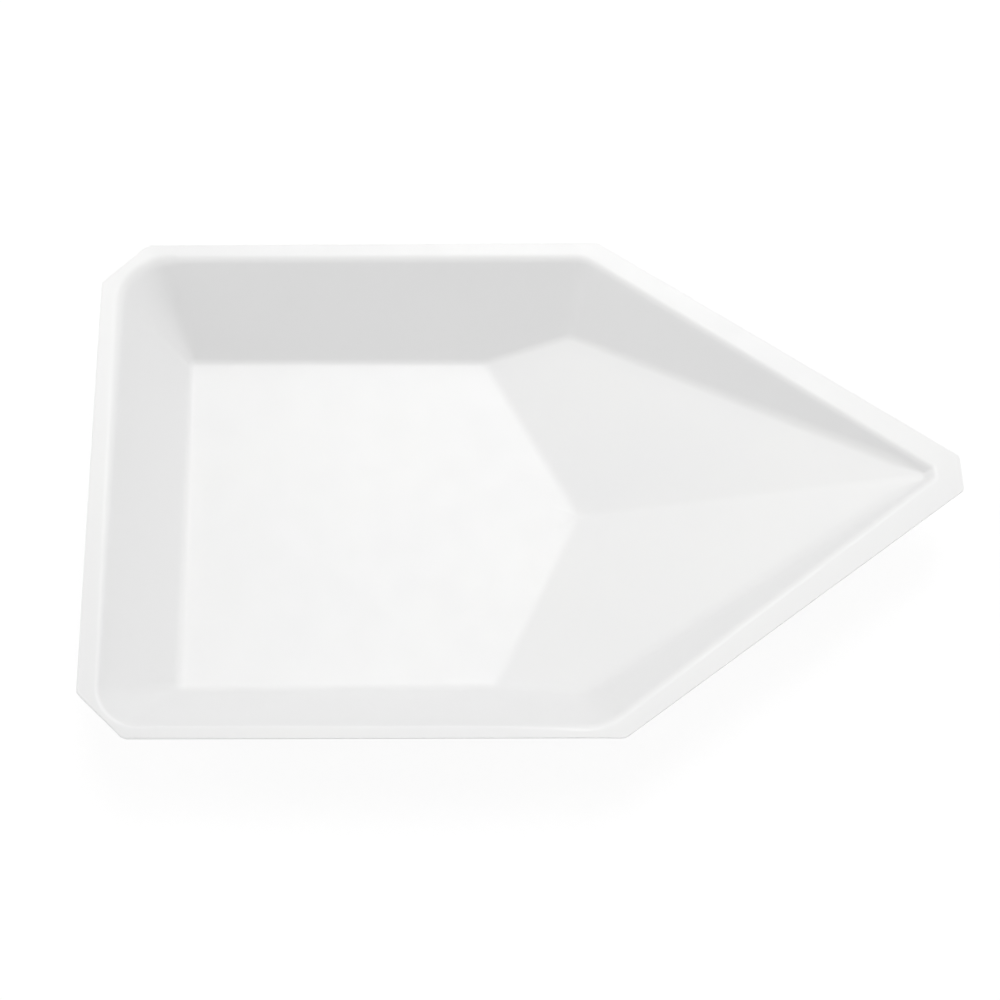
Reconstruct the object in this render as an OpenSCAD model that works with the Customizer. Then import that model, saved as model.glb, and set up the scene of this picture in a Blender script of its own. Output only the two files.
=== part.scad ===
// Weighing boat with a pouring spout, formed from one sheet of plastic and cut out.
// X runs from the back edge to the nose of the spout, Y across, Z up.
// The origin is on the table, below the middle of the boat's outline.

/* [Overall] */
// Length from the back edge to the nose of the spout
boat_l = 140; // [125:1:170]
// Width across the two side lips
boat_w = 88; // [80:1:110]
// Height from the table to the top of the lip
boat_h = 16; // [12:0.5:22]
// Thickness of the sheet, measured straight down
sheet_t = 0.45; // [0.3:0.05:0.8]

/* [Basin walls] */
// How far the back wall slopes in between the rim and the floor
back_run = 10.3; // [8:0.1:14]
// How far each side wall slopes in between the rim and the floor
side_run = 11.7; // [8:0.1:15]
// Radius of the back corners at the rim
rim_corner_r = 6; // [4:0.5:8]
// Radius of the back corners of the flat floor
floor_corner_r = 0.3; // [0.2:0.1:3]

/* [Spout] */
// Distance from the rim's shoulders to the point where its edges would meet
spout_l = 55.7; // [45:0.1:65]
// Width of the rim across the end of the spout
mouth_w = 1.6; // [1:0.1:3]
// How far the floor's shoulders stand behind the rim's
shoulder_run = 16.8; // [15:0.1:20]
// Length of the floor's point in front of its shoulders
floor_point_l = 15; // [8:0.5:20]
// Distance from a floor shoulder to the fold where the spout's wall starts
fold_run = 14.1; // [10:0.1:16]
// How far below the rim the ramps would be at the point where its edges would meet
ramp_drop = 0.75; // [0.5:0.05:2]

/* [Lip] */
// Width of the lip along the back
back_lip_w = 3.2; // [2:0.1:5]
// Width of the lip along each side
side_lip_w = 2.7; // [2:0.1:5]
// Width of the lip where the spout's edge starts
shoulder_lip_w = 3.6; // [2.5:0.1:5]
// Width of the lip where the spout's edge ends
tip_lip_w = 4.6; // [4:0.1:6]
// Distance from the point where the rim's edges would meet to the nose
nose_lip_w = 3.6; // [3:0.1:5]
// Leg of the cut across each back corner of the lip
corner_cut = 8.5; // [6:0.1:9]
// How far the rounding of the lip's cut corners reaches from each corner
cut_reach = 0.8; // [0.2:0.1:1.5]

/* [Rounding] */
// How far the fillet round the floor reaches from its edge
foot_reach = 1.1; // [0.4:0.1:2]
// How far the rounding of the rim reaches from its edge
rim_reach = 1.6; // [0.4:0.1:2]
// How far the rounding of each upright fold reaches from its edge
fold_reach = 1; // [0.3:0.1:2]
// How far the rounding of the creases between floor and ramps reaches
crease_reach = 1.3; // [0.3:0.1:2]

/* [Hidden] */

depth = boat_h - sheet_t;

// Places along X, from the back edge forward
back_x = -boat_l / 2;
nose_x = boat_l / 2;
rim_back_x = back_x + back_lip_w;
rim_tip_x = nose_x - nose_lip_w;
rim_shoulder_x = rim_tip_x - spout_l;
floor_back_x = rim_back_x + back_run;
floor_shoulder_x = rim_shoulder_x - shoulder_run;
floor_point_x = floor_shoulder_x + floor_point_l;
fold_x = floor_shoulder_x + fold_run;

// Half widths
side_y = boat_w / 2;
rim_y = side_y - side_lip_w;
floor_y = rim_y - side_run;

// Each ramp climbs from the floor's point to just below the rim, and tilts up outwards
ramp_rise = (depth - ramp_drop) / (rim_tip_x - floor_point_x);
ramp_tilt = ramp_rise * floor_point_l / floor_y;

// The fold, where a ramp, a side wall and a spout wall meet
fold_z = (ramp_rise * (fold_x - floor_point_x) + ramp_tilt * floor_y) / (1 - ramp_tilt * side_run / depth);
fold_y = floor_y + fold_z * side_run / depth;

// A spout wall falls from the line between shoulder and tip, and passes through the fold
spout_edge = unit([rim_tip_x - rim_shoulder_x, -rim_y]);
spout_out = [-spout_edge.y, spout_edge.x];
spout_slope = spout_out * [rim_shoulder_x - fold_x, rim_y - fold_y] / (depth - fold_z);

// The two spout walls and the two ramps all meet just behind the tip
groove_x = rim_tip_x - spout_slope * ramp_drop / (spout_out.x - spout_slope * ramp_rise);

// At the mouth the rim crosses from one edge to the other, and the foot crosses just behind it
mouth_x = rim_tip_x - mouth_w / 2 * spout_l / rim_y;
mouth_run = 1;
mouth_foot_x = min(groove_x, mouth_x) - mouth_run;
mouth_foot_y = fold_y * (groove_x - mouth_foot_x) / (groove_x - fold_x);
mouth_reach = 0.25;

// Steps across each kind of rounding, and rings over the floor
corner_steps = 12;
fold_steps = 6;
arc_steps = 6;
floor_rings = 5;

// Where a wall is low, each of its two roundings takes at most this share of it
wall_share = 0.48;

// The formed sheet is wider than the boat, which is cut out of it
sheet_margin = back_lip_w + tip_lip_w + nose_lip_w;

function unit(v) = v / norm(v);
function turned(v) = [-v.y, v.x];
function in_plan(v) = [v.x, v.y];
function joined(lists) = [for (l = lists) each l];

// A point on the arc that leaves a for the corner c and lands on b, at s from 0 to 1
function arc_point(a, c, b, s) =
    let (w = sqrt(max(0, 1 + unit(c - a) * unit(b - c)) / 2))
    ((1 - s) ^ 2 * a + 2 * w * s * (1 - s) * c + s ^ 2 * b)
    / ((1 - s) ^ 2 + 2 * w * s * (1 - s) + s ^ 2);

// Height of the bed, the floor with the two ramps, over its floor, with soft creases
function soft_abs(v, r) = abs(v) >= r ? abs(v) : (v * v + r * r) / (2 * r);
function soft_positive(v, r) = v <= -r ? 0 : v >= r ? v : (v + r) ^ 2 / (4 * r);
function bed_z(p) = soft_positive(
    ramp_rise * (p.x - floor_point_x) + ramp_tilt * soft_abs(p.y, crease_reach),
    ramp_rise * crease_reach);
function on_bed(p) = [p.x, p.y, bed_z(p)];

// Posts are the corners of an outline in plan: [x, y, reach of the rounding, steps across it].
// Each list runs from a back corner to the spout. Post by post, foot and rim stand at one fold.
foot_posts = [
    [floor_back_x, floor_y, floor_corner_r + foot_reach, corner_steps],
    [floor_shoulder_x, floor_y, fold_reach, fold_steps],
    [fold_x, fold_y, fold_reach, fold_steps],
    [mouth_foot_x, mouth_foot_y, mouth_reach, fold_steps],
];
rim_posts = [
    [rim_back_x, rim_y, rim_corner_r, corner_steps],
    [floor_shoulder_x, rim_y, fold_reach, fold_steps],
    [rim_shoulder_x, rim_y, fold_reach, fold_steps],
    [mouth_x, mouth_w / 2, mouth_reach, fold_steps],
];

// The outline that the boat is cut to: its back corners are cut off and its nose is blunt
cut_start = [rim_shoulder_x, rim_y] + shoulder_lip_w * spout_out;
cut_end = [rim_tip_x, 0] + tip_lip_w * spout_out;
cut_slope = (cut_end.y - cut_start.y) / (cut_end.x - cut_start.x);
cut_posts = [
    [back_x, side_y - corner_cut, cut_reach, fold_steps],
    [back_x + corner_cut, side_y, cut_reach, fold_steps],
    [cut_start.x + (side_y - cut_start.y) / cut_slope, side_y, cut_reach, fold_steps],
    [nose_x, cut_start.y + (nose_x - cut_start.x) * cut_slope, cut_reach, fold_steps],
];

// The posts of the near side, then those of the far side back to where they began
function both_sides(posts) = concat(
    [for (p = posts) [p[0], -p[1], p[2], p[3]]],
    [for (i = [len(posts) - 1:-1:0]) posts[i]]);

// A rounded outline: at every step of every post, its point, the direction in which it runs
// there, and the reach of the rounding, which the fillet inside a foot doesn't go beyond
function outline(posts) =
    let (all = both_sides(posts), n = len(all))
    joined([for (i = [0:n - 1])
        let (
            post = all[i],
            corner = in_plan(post),
            before = unit(corner - in_plan(all[(i + n - 1) % n])),
            after = unit(in_plan(all[(i + 1) % n]) - corner))
        [for (k = [0:post[3]])
            let (s = k / post[3])
            [arc_point(corner - post[2] * before, corner, corner + post[2] * after, s),
             unit((1 - s) * before + s * after),
             post[2]]]]);

foot = outline(foot_posts);
rim = outline(rim_posts);
spokes = len(foot);

// The section of the sheet along one spoke: over the floor, up the wall and out over the lip
function section(i) =
    let (
        point = [floor_point_x, 0],
        foot_edge = on_bed(foot[i][0]),
        inset = min(foot_reach, foot[i][2]),
        floor_end = foot[i][0] + inset * turned(foot[i][1]),
        rim_edge = [rim[i][0].x, rim[i][0].y, depth],
        out = -turned(rim[i][1]),
        wall = rim_edge - foot_edge,
        room = wall_share * norm(wall),
        wall_start = foot_edge + min(inset, room) * unit(wall),
        wall_end = rim_edge - min(rim_reach, room) * unit(wall),
        lip_start = rim_edge + rim_reach * [out.x, out.y, 0])
    concat(
        [for (k = [1:floor_rings]) on_bed(point + (k / floor_rings) ^ 2 * (floor_end - point))],
        [for (k = [1:arc_steps]) arc_point(on_bed(floor_end), foot_edge, wall_start, k / arc_steps)],
        [for (k = [0:arc_steps]) arc_point(wall_end, rim_edge, lip_start, k / arc_steps)],
        [rim_edge + sheet_margin * [out.x, out.y, 0]]);

// The sheet as it leaves the mould: an upper skin, the same skin one sheet lower, and an edge.
// The sheet is drawn straight down, so it is thinnest at right angles where it is steepest.
module formed_sheet() {
    rings = floor_rings + 2 * arc_steps + 2;
    upper = concat([on_bed([floor_point_x, 0])], joined([for (i = [0:spokes - 1]) section(i)]));
    lower = [for (p = upper) p - [0, 0, sheet_t]];
    count = len(upper);
    function at(i, k) = 1 + (i % spokes) * rings + k;
    skin = joined([for (i = [0:spokes - 1]) concat(
        [[0, at(i + 1, 0), at(i, 0)]],
        joined([for (k = [0:rings - 2]) [
            [at(i, k), at(i + 1, k), at(i + 1, k + 1)],
            [at(i, k), at(i + 1, k + 1), at(i, k + 1)]]]))]);
    edge = joined([for (i = [0:spokes - 1])
        let (a = at(i, rings - 1), b = at(i + 1, rings - 1))
        [[a, b, b + count], [a, b + count, a + count]]]);
    translate([0, 0, sheet_t])
    polyhedron(
        points = concat(upper, lower),
        faces = concat(skin, [for (f = skin) [f[0] + count, f[2] + count, f[1] + count]], edge));
}

module boat() {
    color("whitesmoke")
    intersection() {
        formed_sheet();
        translate([0, 0, -boat_h])
        linear_extrude(3 * boat_h)
        polygon([for (p = outline(cut_posts)) p[0]]);
    }
}

boat();
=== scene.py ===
"""A white weighing boat with a pouring spout, thermoformed from one thin polystyrene sheet.

The sheet is one surface of two parameters: round the basin, and out from the floor's point
over the floor, the wall, the rim and the lip, round the cut edge and back underneath.
Every arc below is a true circular one between two lines that meet at a corner. The near
side is the one at negative Y, and the far side the one at positive Y.
"""
import math
import bpy
import numpy as np
from mathutils import Matrix, Vector


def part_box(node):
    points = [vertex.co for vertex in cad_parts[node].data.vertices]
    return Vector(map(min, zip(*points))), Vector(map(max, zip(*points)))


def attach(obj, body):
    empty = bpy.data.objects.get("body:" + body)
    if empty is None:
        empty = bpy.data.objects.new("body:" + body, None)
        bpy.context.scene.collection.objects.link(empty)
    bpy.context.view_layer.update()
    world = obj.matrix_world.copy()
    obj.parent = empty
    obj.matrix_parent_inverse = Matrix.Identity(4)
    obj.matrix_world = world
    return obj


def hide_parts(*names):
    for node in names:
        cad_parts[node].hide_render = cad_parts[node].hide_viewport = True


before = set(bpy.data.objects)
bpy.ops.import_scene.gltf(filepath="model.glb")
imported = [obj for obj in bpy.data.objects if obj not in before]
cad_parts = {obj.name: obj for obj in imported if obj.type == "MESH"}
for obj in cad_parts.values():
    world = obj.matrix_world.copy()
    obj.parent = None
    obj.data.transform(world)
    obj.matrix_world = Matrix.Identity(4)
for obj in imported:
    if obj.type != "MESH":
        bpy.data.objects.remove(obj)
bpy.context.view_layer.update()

MM = 0.001


# ---------------------------------------------------------------- sizes of the boat
# All sizes are in metres. The boat's box comes from the frame, and everything else is
# set off from it, as in the CAD model.

low, high = (np.array(corner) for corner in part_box("boat"))

SHEET = 0.45 * MM            # thickness, measured straight down
BACK_RUN = 10.3 * MM         # how far the back wall slopes in
SIDE_RUN = 11.7 * MM         # how far a side wall slopes in
SPOUT = 55.7 * MM            # from the rim's shoulders to where its edges would meet
MOUTH = 1.6 * MM             # width of the rim across the end of the spout
MOUTH_RUN = 1.0 * MM         # how far the foot crosses behind the mouth
SHOULDER_RUN = 16.8 * MM     # how far the floor's shoulders stand behind the rim's
FLOOR_POINT = 15.0 * MM      # length of the floor's point
FOLD_RUN = 14.1 * MM         # from a floor shoulder to the fold
RAMP_DROP = 0.75 * MM        # how far below the rim the ramps end

# Width of the lip along the back, along a side, at a shoulder, beside the tip and ahead of it
BACK_LIP, SIDE_LIP = 3.2 * MM, 2.7 * MM
SHOULDER_LIP, TIP_LIP, NOSE_LIP = 3.6 * MM, 4.6 * MM, 3.6 * MM
# Leg of the cut across each back corner
FAR_CORNER_CUT, NEAR_CORNER_CUT = 7.2 * MM, 8.5 * MM

# How far the round corners of the outlines reach in plan: the floor's and the rim's back
# corners, a fold, the rim's near shoulder, the mouth and the cut
FLOOR_CORNER = 0.3 * MM
FAR_RIM_CORNER, NEAR_RIM_CORNER = 8.0 * MM, 6.5 * MM
FOLD_REACH, NEAR_SHOULDER_REACH = 1.3 * MM, 3.2 * MM
MOUTH_REACH, CUT_REACH = 0.25 * MM, 0.45 * MM
# And those of the creases where a ramp leaves the floor, and where the two ramps meet
RAMP_REACH, VALLEY_REACH = 1.0 * MM, 0.6 * MM

# Fillet round the floor's edge, and near the spout's tip
FAR_FOOT, NEAR_FOOT = 0.8 * MM, 1.3 * MM
TIP_FOOT, NEAR_TIP_FOOT = 1.15 * MM, 1.9 * MM
# Rounding of the rim across the back, along a side, and near the spout's tip
FAR_BACK_ROLL, NEAR_BACK_ROLL = 1.3 * MM, 0.5 * MM
FAR_ROLL, NEAR_ROLL = 0.95 * MM, 0.3 * MM
TIP_ROLL, NEAR_TIP_ROLL = 0.8 * MM, 0.9 * MM
ROLL_RUN = 10.5 * MM         # from a back corner to where a side's own roundings begin
TIP_SHARE = 0.1              # share of the spout's edge that has the tip's own roundings
WALL_SHARE = 0.48            # most of a low wall that each of its two roundings takes
LIP_SHARE = 0.8              # most of a narrow lip that the rim's rounding takes

# Rounding of the cut edge. Round the near back corner it is a wider curl, which falls
# further and fades out over CURL_RUN.
EDGE_ROUND = 0.08 * MM
CURL, CURL_FALL, CURL_RUN = 0.7 * MM, 0.22 * MM, 22 * MM
CURL_SHARE = 0.25            # most of a narrow lip that the curl takes

# A real boat stands a little out of true, because the thin sheet relaxes as it cools and is
# trimmed by hand. How far the corners of its outlines stand off their true places, outwards
# or, where there are two numbers, along X and outwards:
FAR_BACK_FOOT, NEAR_BACK_FOOT = 0.5 * MM, 0.3 * MM
NEAR_FLOOR_SHOULDER = 0.6 * MM
FAR_FOLD, NEAR_FOLD = [0.6 * MM, -0.3 * MM], [0, 0.3 * MM]
FAR_TIP_FOOT = [0.15 * MM, 0.2 * MM]
NEAR_BACK_RIM = -0.4 * MM
FAR_SHOULDER = np.array([0, -0.3 * MM])
NEAR_SHOULDER = np.array([-0.63 * MM, 0.85 * MM])
# The near ramp's crease reaches less far back, and the near cut begins further in
NEAR_CREASE, NEAR_CUT_IN = 0.5 * MM, 1.1 * MM
# Rise of the lip over its run at the back corners, and at the near shoulder, the tip and
# the far shoulder
NEAR_BACK_RISE, FAR_BACK_RISE = -0.12, 0.09
NEAR_RISE, TIP_RISE, FAR_RISE = -0.08, -0.05, 0.045

# Steps round each bend of an outline and along each straight run
BEND_STEPS, RUN_STEPS = 14, 30
# Steps along a spoke: floor, fillet, wall, rim, lip, and each turn of the cut edge
FLOOR_STEPS, FOOT_STEPS, WALL_STEPS, RIM_STEPS, LIP_STEPS, EDGE_STEPS = 24, 10, 10, 12, 8, 8
UPPER_RINGS = FLOOR_STEPS + FOOT_STEPS + WALL_STEPS + RIM_STEPS + LIP_STEPS

depth = high[2] - low[2] - SHEET
back_x, nose_x, side_y = low[0], high[0], high[1]
rim_back_x, rim_tip_x, rim_y = back_x + BACK_LIP, nose_x - NOSE_LIP, side_y - SIDE_LIP
rim_shoulder_x = rim_tip_x - SPOUT
floor_back_x, floor_y = rim_back_x + BACK_RUN, rim_y - SIDE_RUN
floor_shoulder_x = rim_shoulder_x - SHOULDER_RUN
floor_point_x = floor_shoulder_x + FLOOR_POINT
fold_x = floor_shoulder_x + FOLD_RUN
ramp_rise = (depth - RAMP_DROP) / (rim_tip_x - floor_point_x)
ramp_tilt = ramp_rise * FLOOR_POINT / floor_y
near_ramp_tilt = ramp_rise * (FLOOR_POINT - NEAR_CREASE) / floor_y


# ---------------------------------------------------------------- the formed sheet

PARALLEL = 1e-6              # lines that close in on each other more slowly never meet


def unit(v):
    """A direction of length one: a vector divided by its length."""
    return v / np.linalg.norm(v, axis=-1, keepdims=True)


def turned(v):
    """A direction in plan turned a quarter to the left."""
    return np.stack([-v[..., 1], v[..., 0]], -1)


def arc(start, corner, end, s):
    """The circular arc that leaves start towards the corner and lands on end, at shares s of
    the way: a quadratic curve through the three points, its corner weighted by the cosine of
    half the turn."""
    bend = np.sum(unit(corner - start) * unit(end - corner), -1, keepdims=True)
    weight = 2 * np.sqrt(np.maximum(0, 1 + bend) / 2) * s * (1 - s)
    total = (1 - s) ** 2 + weight + s ** 2
    return ((1 - s) ** 2 * start + weight * corner + s ** 2 * end) / total


def outline(corners, reach, rounding):
    """A closed outline in plan with round corners. Each corner's arc, which starts and ends
    reach from the corner, is followed by the straight run to the next arc, with its points
    closer together towards both ends. Gives the points, the way the outline heads at each,
    and the rounding of the sheet there, which changes evenly along a run."""
    before = unit(corners - np.roll(corners, 1, 0))
    after = np.roll(before, -1, 0)
    start, end = corners - reach[:, None] * before, corners + reach[:, None] * after
    s = np.linspace(0, 1, BEND_STEPS + 1)[None, :, None]
    bends = arc(start[:, None], corners[:, None], end[:, None], s)
    turns = unit((1 - s) * before[:, None] + s * after[:, None])
    r = (0.5 - 0.5 * np.cos(np.pi * np.arange(1, RUN_STEPS) / RUN_STEPS))[None, :, None]
    runs = (1 - r) * end[:, None] + r * np.roll(start, -1, 0)[:, None]
    ahead = np.broadcast_to(after[:, None], runs.shape)
    points = np.concatenate([bends, runs], 1).reshape(-1, 2)
    share = np.concatenate([np.zeros(BEND_STEPS + 1), r[0, :, 0]])
    rounding = rounding[:, None] * (1 - share) + np.roll(rounding, -1)[:, None] * share
    return points, np.concatenate([turns, ahead], 1).reshape(-1, 2), rounding.reshape(-1, 1)


def both_sides(posts, near_more=0, far_skew=0, near_skew=0):
    """Corners [x, y, reach, rounding] of one side, from the back to the spout, made into the
    whole outline: the near side's first, with its reach and rounding larger by near_more, and
    then the far side's, backwards. Each side's corners are first moved along X and outwards
    by its skew."""
    far = np.array(posts)
    near = far.copy()
    near[:, 2:] += near_more
    far[:, :2] += far_skew
    near[:, :2] += near_skew
    whole = np.concatenate([near * [1, -1, 1, 1], far[::-1]])
    return whole[:, :2], whole[:, 2], whole[:, 3]


def in_line(x, back, front):
    """Skews for the corners at x of one straight side: outwards by back at its first and by
    front at its last, and evenly between."""
    return [[0, y] for y in np.interp(x, [x[0], x[-1]], [back, front])]


def on_bed(plan):
    """Places points in plan on the bed: the flat floor, and the two ramps, which climb along X
    from the floor's point and tilt up outwards along Y. The creases are rounded by parabolas."""
    x, y = plan[..., 0], plan[..., 1]
    valley = (y ** 2 + VALLEY_REACH ** 2) / (2 * VALLEY_REACH)
    out = np.where(np.abs(y) < VALLEY_REACH, valley, np.abs(y))
    tilt = np.where(y < 0, near_ramp_tilt, ramp_tilt)
    climb, soft = ramp_rise * (x - floor_point_x) + tilt * out, ramp_rise * RAMP_REACH
    crease = (climb + soft) ** 2 / (4 * soft)
    climb = np.where(np.abs(climb) < soft, crease, np.maximum(climb, 0))
    return np.stack([x, y, climb], -1)


def between(a, b, share):
    """The point that share of the way from a to b, both in plan."""
    return np.array(a) * (1 - share) + np.array(b) * share


# Where a ramp, a side wall and a spout wall meet
fold_z = ramp_rise * (fold_x - floor_point_x) + ramp_tilt * floor_y
fold_z /= 1 - ramp_tilt * SIDE_RUN / depth
fold_y = floor_y + fold_z * SIDE_RUN / depth
# Where the two spout walls and the two ramps meet, just behind the tip
spout_out = turned(unit(np.array([SPOUT, -rim_y])))
spout_slope = spout_out @ [rim_shoulder_x - fold_x, rim_y - fold_y] / (depth - fold_z)
groove_x = rim_tip_x - spout_slope * RAMP_DROP / (spout_out[0] - spout_slope * ramp_rise)
mouth_x, mouth_y = rim_tip_x - MOUTH / 2 * SPOUT / rim_y, MOUTH / 2
mouth_foot_x = min(groove_x, mouth_x) - MOUTH_RUN
mouth_foot_y = fold_y * (groove_x - mouth_foot_x) / (groove_x - fold_x)
# Where the tip's own roundings begin
tip_foot = between([mouth_foot_x, mouth_foot_y], [fold_x, fold_y], TIP_SHARE)
tip_rim = between([mouth_x, mouth_y], [rim_shoulder_x, rim_y], TIP_SHARE)
# The line of the cut beside the spout
cut_start = np.array([rim_shoulder_x, rim_y]) + SHOULDER_LIP * spout_out
cut_end = np.array([rim_tip_x, 0]) + TIP_LIP * spout_out
cut_slope = (cut_end[1] - cut_start[1]) / (cut_end[0] - cut_start[0])

# The edge of the floor, of the ramps and of the spout's foot, corner by corner
foot_x = [floor_back_x, floor_back_x + ROLL_RUN, floor_shoulder_x]
more_foot = NEAR_FOOT - FAR_FOOT
foot, foot_heading, fillet = outline(*both_sides(
    [[foot_x[0], floor_y, FLOOR_CORNER + FAR_FOOT, FAR_FOOT],
     [foot_x[1], floor_y, FOLD_REACH, FAR_FOOT],
     [foot_x[2], floor_y, FOLD_REACH, FAR_FOOT],
     [fold_x, fold_y, FOLD_REACH, FAR_FOOT],
     [*tip_foot, FOLD_REACH, TIP_FOOT],
     [mouth_foot_x, mouth_foot_y, MOUTH_REACH, MOUTH_REACH]],
    near_more=[[more_foot, more_foot], [0, more_foot], [0, more_foot], [more_foot, more_foot],
               [0, NEAR_TIP_FOOT - TIP_FOOT], [0, 0]],
    far_skew=[*in_line(foot_x, FAR_BACK_FOOT, 0), FAR_FOLD, FAR_TIP_FOOT, [0, 0]],
    near_skew=[*in_line(foot_x, NEAR_BACK_FOOT, NEAR_FLOOR_SHOULDER), NEAR_FOLD, [0, 0],
               [0, 0]]))

# The rim, with as many corners as the foot has, so that every spoke of the sheet joins the
# same share of both
rim_x = [rim_back_x, rim_back_x + ROLL_RUN, floor_shoulder_x, rim_shoulder_x]
more_roll, more_tip_roll = NEAR_ROLL - FAR_ROLL, NEAR_TIP_ROLL - TIP_ROLL
rim, rim_heading, roll = outline(*both_sides(
    [[rim_x[0], rim_y, FAR_RIM_CORNER, FAR_BACK_ROLL],
     [rim_x[1], rim_y, FOLD_REACH, FAR_ROLL],
     [rim_x[2], rim_y, FOLD_REACH, FAR_ROLL],
     [rim_x[3], rim_y, FOLD_REACH, FAR_ROLL],
     [*tip_rim, FOLD_REACH, TIP_ROLL],
     [mouth_x, mouth_y, MOUTH_REACH, TIP_ROLL]],
    near_more=[[NEAR_RIM_CORNER - FAR_RIM_CORNER, NEAR_BACK_ROLL - FAR_BACK_ROLL],
               [0, more_roll], [0, more_roll], [NEAR_SHOULDER_REACH - FOLD_REACH, 0],
               [0, more_tip_roll], [0, more_tip_roll]],
    far_skew=[*in_line(rim_x, 0, FAR_SHOULDER[1])[:3], FAR_SHOULDER,
              TIP_SHARE * FAR_SHOULDER, [0, 0]],
    near_skew=[*in_line(rim_x, NEAR_BACK_RIM, NEAR_SHOULDER[1])[:3], NEAR_SHOULDER,
               TIP_SHARE * NEAR_SHOULDER, [0, 0]]))

# The line that the boat is cut to: its back corners are cut off and its nose is blunt
more_cut = NEAR_CORNER_CUT - FAR_CORNER_CUT
cut, cut_heading, _ = outline(*both_sides(
    [[back_x, side_y - FAR_CORNER_CUT, CUT_REACH, 0],
     [back_x + FAR_CORNER_CUT, side_y, CUT_REACH, 0],
     [cut_start[0] + (side_y - cut_start[1]) / cut_slope, side_y, CUT_REACH, 0],
     [nose_x, cut_start[1] + (nose_x - cut_start[0]) * cut_slope, CUT_REACH, 0]],
    near_skew=[[0, -more_cut], [more_cut - NEAR_CUT_IN, -NEAR_CUT_IN], [0, 0], [0, 0]]))


def shares(steps):
    """The shares 1 / steps, 2 / steps and so on up to 1, one for each ring."""
    return (np.arange(1, steps + 1) / steps)[:, None, None]


def stretch(start, end, steps):
    """Evenly spaced rings from start to end, without the first."""
    return (1 - shares(steps)) * start + shares(steps) * end


def lip_reach(out):
    """How far the lip reaches from each point of the rim along out: to the nearest crossing
    with the tangent lines of the cut, which bulges outwards all round."""
    facing = -turned(cut_heading)
    towards = out @ facing.T
    gap = np.sum(cut * facing, 1) - rim @ facing.T
    crossing = np.where(towards > PARALLEL, gap / np.maximum(towards, PARALLEL), np.inf)
    return crossing.min(1)[:, None]


def lip_rise():
    """How much the lip rises over its run at each point of the rim. It changes evenly from
    side to side, and evenly along from the back corners to the shoulders."""
    back = np.interp(rim[:, 1], [-rim_y, rim_y], [NEAR_BACK_RISE, FAR_BACK_RISE])
    front = np.interp(rim[:, 1], [-rim_y, 0, rim_y], [NEAR_RISE, TIP_RISE, FAR_RISE])
    ahead = np.interp(rim[:, 0], [rim_back_x, rim_shoulder_x], [0, 1])
    return (back + (front - back) * ahead)[:, None]


def edge_curl(reach):
    """How wide the upper turn of the cut edge is, and how far it falls, at each point of the
    rim: EDGE_ROUND, and evenly more as the near back corner gets nearer."""
    corner = np.array([rim_back_x, -rim_y])
    nearness = np.interp(np.linalg.norm(rim - corner, axis=1), [0, CURL_RUN], [1, 0])[:, None]
    width = np.minimum(EDGE_ROUND + (CURL - EDGE_ROUND) * nearness, CURL_SHARE * reach)
    return width, EDGE_ROUND + (CURL_FALL - EDGE_ROUND) * nearness


def sheet_rings():
    """The sheet as rings of points, one ring after another, from the floor's point out and
    back underneath. A spoke starts at the floor's point, crosses the bed, turns up an arc
    into the straight wall, and over an arc at the rim into the flat lip, which ends at the
    cut. There it turns over two small arcs, and the way back is the same spoke one sheet
    lower. Where the lip rises, its rim stands lower by as much. The second small arc's last
    step is left out, because the way back starts there."""
    point = np.array([floor_point_x, 0])
    inner = foot + fillet * turned(foot_heading)
    out = -turned(rim_heading)
    reach, rise = lip_reach(out), lip_rise()
    out = np.column_stack([out, rise])
    foot_edge = on_bed(foot)
    rim_edge = np.column_stack([rim, depth - reach * np.maximum(rise, 0)])
    wall = rim_edge - foot_edge
    room = WALL_SHARE * np.linalg.norm(wall, axis=1, keepdims=True)
    wall_start = foot_edge + np.minimum(fillet, room) * unit(wall)
    wall_end = rim_edge - np.minimum(roll, room) * unit(wall)
    lip_start = rim_edge + np.minimum(roll, LIP_SHARE * reach) * out
    curl, fall = edge_curl(reach)
    lip_end, edge_top = rim_edge + (reach - curl) * out, rim_edge + reach * out
    down = np.array([0, 0, -1.0])
    upper = np.concatenate([
        on_bed(stretch(point, inner, FLOOR_STEPS)),
        arc(on_bed(inner), foot_edge, wall_start, shares(FOOT_STEPS)),
        stretch(wall_start, wall_end, WALL_STEPS),
        arc(wall_end, rim_edge, lip_start, shares(RIM_STEPS)),
        stretch(lip_start, lip_end, LIP_STEPS)])
    low_edge = edge_top + SHEET * down
    face_end = low_edge - EDGE_ROUND * down
    edge = np.concatenate([
        arc(lip_end, edge_top, edge_top + fall * down, shares(EDGE_STEPS)),
        face_end[None],
        arc(face_end, low_edge, low_edge - EDGE_ROUND * out, shares(EDGE_STEPS)[:-1])])
    rings = np.concatenate([upper, edge, upper[::-1] + SHEET * down])
    lift = [0, 0, low[2] + SHEET]
    return rings + lift, on_bed(point) + lift


def rings_to_mesh(name, rings, pole, last_pole):
    """A closed mesh from rings of equal length between two poles: fans at the poles and
    four-sided faces between the rings."""
    count, around = rings.shape[:2]
    here = np.arange(around)
    ahead = np.roll(here, -1)
    base = 1 + around * np.arange(count - 1)[:, None]
    quads = np.stack([base + here, base + around + here, base + around + ahead, base + ahead],
                     -1)
    last = 1 + around * (count - 1)
    first_fan = np.stack([np.zeros_like(here), 1 + here, 1 + ahead], -1)
    last_fan = np.stack([last + here, np.full_like(here, last + around), last + ahead], -1)
    faces = quads.reshape(-1, 4).tolist() + first_fan.tolist() + last_fan.tolist()
    points = np.concatenate([pole[None], rings.reshape(-1, 3), last_pole[None]])
    mesh = bpy.data.meshes.new(name)
    mesh.from_pydata(points.tolist(), [], faces)
    mesh.polygons.foreach_set("use_smooth", np.ones(len(mesh.polygons), bool))
    mesh.update()
    return mesh


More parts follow.
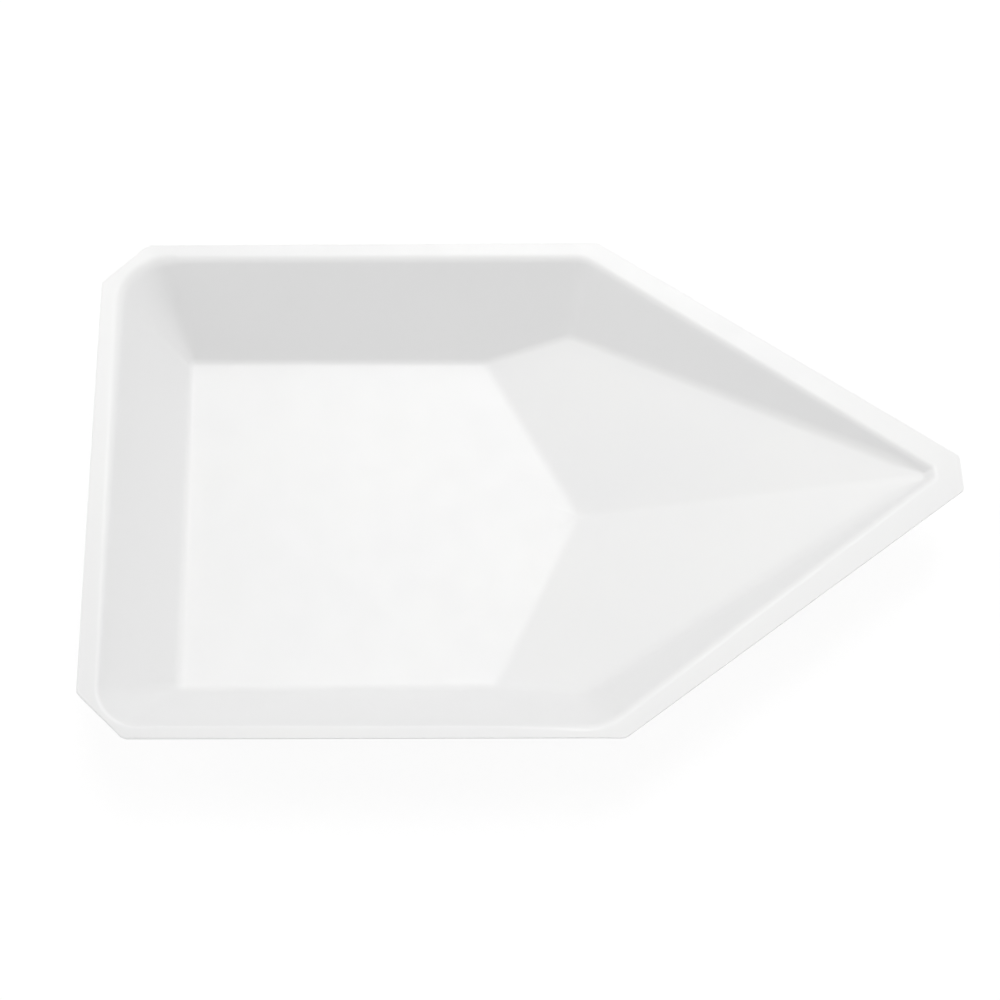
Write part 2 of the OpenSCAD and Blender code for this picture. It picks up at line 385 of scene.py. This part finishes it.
def add_attribute(mesh, name, values):
    """A number for each point of the mesh, for its material to read."""
    attribute = mesh.attributes.new(name, "FLOAT", "POINT")
    attribute.data.foreach_set("value", values.astype(np.float32))


WALL_GREYING_AND_SHADE = 2.2               # how far an upright wall is painted greyer, for its thinning and as painted shade, before it is cut off at 1

rings, pole = sheet_rings()
mesh = rings_to_mesh("formed_sheet", rings, pole, pole - [0, 0, SHEET])
# The cut face is the middle rings. Elsewhere the sheet is painted greyer as it gets steeper:
# partly because it is drawn thinner there, partly as painted shade on the walls.
normals = np.empty(3 * len(mesh.vertices), np.float32)
mesh.vertex_normals.foreach_get("vector", normals)
cut_face = np.zeros(len(rings))
cut_face[UPPER_RINGS:-UPPER_RINGS] = 1
cut_face = np.concatenate([[0], np.repeat(cut_face, rings.shape[1]), [0]])
steepness = 1 - np.abs(normals[2::3])
add_attribute(mesh, "cut_face", cut_face)
add_attribute(mesh, "drawn", (1 - cut_face) * np.clip(WALL_GREYING_AND_SHADE * steepness, 0, 1))
sheet = bpy.data.objects.new("formed_sheet", mesh)
bpy.context.scene.collection.objects.link(sheet)


# ---------------------------------------------------------------- materials

def linear(hex_code):
    """An sRGB hex colour as linear red, green, blue and full alpha."""
    parts = [int(hex_code[i:i + 2], 16) / 255 for i in (1, 3, 5)]
    return [p / 12.92 if p <= 0.04045 else ((p + 0.055) / 1.055) ** 2.4 for p in parts] + [1.0]


def add_node(tree, kind, settings=None, values=None, links=None):
    """Adds a node: its settings, the plain values of its sockets, and what feeds them."""
    made = tree.nodes.new(kind)
    for name, value in (settings or {}).items():
        setattr(made, name, value)
    for socket, value in (values or {}).items():
        made.inputs[socket].default_value = value
    for socket, source in (links or {}).items():
        tree.links.new(source, made.inputs[socket])
    return made


def new_material(name):
    """An empty node material, and its tree."""
    material = bpy.data.materials.new(name)
    material.use_nodes = True
    material.node_tree.nodes.clear()
    return material, material.node_tree


COLOR_A, COLOR_B, COLOR_OUT = 6, 7, 2       # the colour sockets of a Mix node
# Scales of the noises, one over the size of a feature in metres
CLOUD, PATCH = 40, 200       # cloudiness 25 mm across, and uneven satin 5 mm across
PEEL = 560                   # orange peel, 1.8 mm from crest to crest
GRAIN = 2900                 # the mould's grain, really 0.05 mm but drawn 0.35 mm wide to show


def thermoformed_polystyrene():
    """High-impact polystyrene sheet, vacuum formed and then die cut. It is a satin white that
    lets a little light through. Where it was drawn down a wall it is thinner, and it is painted
    a trace greyer the steeper it stands: partly for the thinning, partly as painted shade. The
    cooled skin has a faint orange peel, and the mould's blasted face leaves a fine grain. The
    die leaves the cut edge rougher and whiter."""
    material, tree = new_material("thermoformed_white_polystyrene")
    place = add_node(tree, "ShaderNodeTexCoord").outputs["Object"]
    drawn = add_node(tree, "ShaderNodeAttribute", {"attribute_name": "drawn"}).outputs["Fac"]
    cut_face = add_node(tree, "ShaderNodeAttribute",
                        {"attribute_name": "cut_face"}).outputs["Fac"]
    middle = {"From Min": 0.3, "From Max": 0.7}       # most of a noise lies between these

    # The white clouds over a little, is painted greyer where steep, for its thinning and as
    # painted shade, and whiter at the cut
    cloud = add_node(tree, "ShaderNodeTexNoise", values={"Scale": CLOUD, "Detail": 3},
                     links={"Vector": place})
    cloud = add_node(tree, "ShaderNodeMapRange", values=middle,
                     links={"Value": cloud.outputs["Fac"]})
    white = add_node(tree, "ShaderNodeMix", {"data_type": "RGBA"},
                     {COLOR_A: linear("#F7F7F7"), COLOR_B: linear("#F9F9F8")},
                     {"Factor": cloud.outputs[0]})
    # Painted shade, partly thinning: steep walls are mixed towards a greyer white
    thin_and_shade_grey = add_node(tree, "ShaderNodeMix", {"data_type": "RGBA"},
                    {COLOR_B: linear("#F2F2F2")},
                    {"Factor": drawn, COLOR_A: white.outputs[COLOR_OUT]})
    color = add_node(tree, "ShaderNodeMix", {"data_type": "RGBA"},
                     {COLOR_B: linear("#FBFBFB")},
                     {"Factor": cut_face, COLOR_A: thin_and_shade_grey.outputs[COLOR_OUT]})

    # The satin is uneven, and the cut is rough
    patch = add_node(tree, "ShaderNodeTexNoise", values={"Scale": PATCH, "Detail": 2},
                     links={"Vector": place})
    satin = add_node(tree, "ShaderNodeMapRange",
                     values={**middle, "To Min": 0.36, "To Max": 0.42},
                     links={"Value": patch.outputs["Fac"]})
    rough = add_node(tree, "ShaderNodeMix", {"data_type": "FLOAT"}, {"B": 0.6},
                     {"Factor": cut_face, "A": satin.outputs[0]})

    # The skin's two reliefs, one over the other
    peel = add_node(tree, "ShaderNodeTexNoise", values={"Scale": PEEL, "Detail": 1},
                    links={"Vector": place})
    grain = add_node(tree, "ShaderNodeTexNoise", values={"Scale": GRAIN, "Detail": 1},
                     links={"Vector": place})
    waves = add_node(tree, "ShaderNodeBump", values={"Strength": 1.0, "Distance": 0.012 * MM},
                     links={"Height": peel.outputs["Fac"]})
    tooth = add_node(tree, "ShaderNodeBump", values={"Strength": 1.0, "Distance": 0.003 * MM},
                     links={"Height": grain.outputs["Fac"], "Normal": waves.outputs["Normal"]})

    # Light that travels inside the sheet comes out at the cut edge
    inside = add_node(tree, "ShaderNodeMapRange", values={"To Min": 0.12, "To Max": 0.9},
                      links={"Value": cut_face})
    shader = add_node(tree, "ShaderNodeBsdfPrincipled",
                      values={"IOR": 1.59, "Subsurface Radius": (1.0, 1.0, 1.0),
                              "Subsurface Scale": 0.5 * MM},
                      links={"Base Color": color.outputs[COLOR_OUT],
                             "Roughness": rough.outputs[0],
                             "Subsurface Weight": inside.outputs[0],
                             "Normal": tooth.outputs["Normal"]})
    add_node(tree, "ShaderNodeOutputMaterial", links={"Surface": shader.outputs["BSDF"]})
    return material


mesh.materials.append(thermoformed_polystyrene())
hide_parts("boat")
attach(sheet, "root")


# ---------------------------------------------------------------- floor, light and camera

FLOOR_HALF, FLOOR_GAP = 3.0, 0.05 * MM      # half the floor's side, and its clearance
AMBIENT = 0.445              # strength of the light from all round
LAMP_DISTANCE = 0.9
# Lamps: azimuth and elevation in degrees, size in metres, power in watts
SOFTBOXES = {
    "key_softbox": (165, 55, 0.35, 1.05),
    "far_softbox": (180, 62, 0.35, 0.62),
    "high_softbox": (180, 75, 0.35, 0.87),
    "spout_fill": (60, 30, 0.6, 1.0),
    "far_spout_fill": (120, 30, 0.6, 0.66),
    "far_back_fill": (240, 30, 0.6, 0.95),
    "low_back_fill": (300, 12, 0.6, 0.5),
    "low_near_fill": (330, 12, 0.6, 0.61),
}
# The camera looks down from the near side, turned a little to the back and rolled to level
VIEW_AZIMUTH, VIEW_ELEVATION, VIEW_ROLL = -5.647, 64.5, 4.476
VIEW_TARGET = Vector((-4.128 * MM, 3.296 * MM, low[2] + SHEET))
VIEW_DISTANCE, LENS, SENSOR = 343.451, 73.8, 36.0      # in mm
NEAREST = 0.01                                         # nearest thing it shows, in metres


def seen_as_ground(tree):
    """One for rays that show the ground itself, straight from the camera, in a gloss or
    through something clear, and nought for those that only light the boat."""
    path = add_node(tree, "ShaderNodeLightPath").outputs
    seen = add_node(tree, "ShaderNodeMath", {"operation": "MAXIMUM"},
                    links={0: path["Is Camera Ray"], 1: path["Is Glossy Ray"]})
    return add_node(tree, "ShaderNodeMath", {"operation": "MAXIMUM"},
                    links={0: seen.outputs[0], 1: path["Is Transmission Ray"]}).outputs[0]


def matt_card():
    """Matt white card: it takes the boat's soft shadow, and reads as a clean white ground. A
    faint glow, stronger away from the boat, lifts it to white. It is clear from below, so that
    the underside can be looked at."""
    material, tree = new_material("matt_white_card")
    card = add_node(tree, "ShaderNodeBsdfDiffuse", values={"Color": linear("#F2F2F2")})
    soft = add_node(tree, "ShaderNodeBsdfDiffuse", values={"Color": linear("#808080")})
    place = add_node(tree, "ShaderNodeTexCoord").outputs["Object"]
    away = add_node(tree, "ShaderNodeVectorMath", {"operation": "LENGTH"}, links={0: place})
    rise = add_node(tree, "ShaderNodeMapRange", {"interpolation_type": "SMOOTHSTEP"},
                    {"From Min": 0.12, "From Max": 0.6, "To Min": 0.84, "To Max": 1.0},
                    {"Value": away.outputs["Value"]})
    glow = add_node(tree, "ShaderNodeEmission", values={"Color": linear("#FFFFFF")},
                    links={"Strength": rise.outputs[0]})
    lit = add_node(tree, "ShaderNodeAddShader", links={0: soft.outputs[0], 1: glow.outputs[0]})
    both = add_node(tree, "ShaderNodeMixShader",
                    links={0: seen_as_ground(tree), 1: card.outputs[0], 2: lit.outputs[0]})
    below = add_node(tree, "ShaderNodeNewGeometry").outputs["Backfacing"]
    clear = add_node(tree, "ShaderNodeBsdfTransparent")
    shown = add_node(tree, "ShaderNodeMixShader",
                     links={0: below, 1: both.outputs[0], 2: clear.outputs[0]})
    add_node(tree, "ShaderNodeOutputMaterial", links={"Surface": shown.outputs[0]})
    return material


def direction(azimuth, elevation):
    """The direction from the boat at an azimuth, 0 on the near side and 90 at the spout's end,
    and an elevation, both in degrees."""
    a, e = math.radians(azimuth), math.radians(elevation)
    return Vector((math.sin(a) * math.cos(e), -math.cos(a) * math.cos(e), math.sin(e)))


ground = low[2] - FLOOR_GAP
floor_mesh = bpy.data.meshes.new("studio_floor")
floor_mesh.from_pydata(
    [(x * FLOOR_HALF, y * FLOOR_HALF, ground) for x, y in ((-1, -1), (1, -1), (1, 1), (-1, 1))],
    [], [(0, 1, 2, 3)])
floor_mesh.materials.append(matt_card())
floor = bpy.data.objects.new("studio_floor", floor_mesh)
bpy.context.scene.collection.objects.link(floor)

world = bpy.data.worlds.new("studio")
bpy.context.scene.world = world
world.use_nodes = True
world.node_tree.nodes.clear()
level = add_node(world.node_tree, "ShaderNodeMapRange",
                 values={"To Min": AMBIENT, "To Max": 1.0},
                 links={"Value": seen_as_ground(world.node_tree)})
sky = add_node(world.node_tree, "ShaderNodeBackground", values={"Color": linear("#FFFFFF")},
               links={"Strength": level.outputs[0]})
add_node(world.node_tree, "ShaderNodeOutputWorld", links={"Surface": sky.outputs[0]})

for name, (azimuth, elevation, size, power) in SOFTBOXES.items():
    towards = direction(azimuth, elevation)
    lamp = bpy.data.lights.new(name, "AREA")
    lamp.shape, lamp.size, lamp.energy = "SQUARE", size, power
    softbox = bpy.data.objects.new(name, lamp)
    softbox.location = towards * LAMP_DISTANCE
    softbox.rotation_euler = towards.to_track_quat("Z", "Y").to_euler()
    bpy.context.scene.collection.objects.link(softbox)

away = direction(VIEW_AZIMUTH, VIEW_ELEVATION)
turn, lean = math.radians(VIEW_AZIMUTH), math.radians(VIEW_ROLL)
level_right = Vector((math.cos(turn), math.sin(turn), 0))
level_up = away.cross(level_right)
right = level_right * math.cos(lean) + level_up * math.sin(lean)
up = level_up * math.cos(lean) - level_right * math.sin(lean)
facing = Matrix((right, up, away)).transposed().to_4x4()
lens = bpy.data.cameras.new("camera")
lens.lens, lens.sensor_width, lens.clip_start = LENS, SENSOR, NEAREST
camera = bpy.data.objects.new("camera", lens)
camera.matrix_world = Matrix.Translation(VIEW_TARGET + away * VIEW_DISTANCE * MM) @ facing
bpy.context.scene.collection.objects.link(camera)
bpy.context.scene.camera = camera
bpy.context.scene.view_settings.view_transform = "Standard"
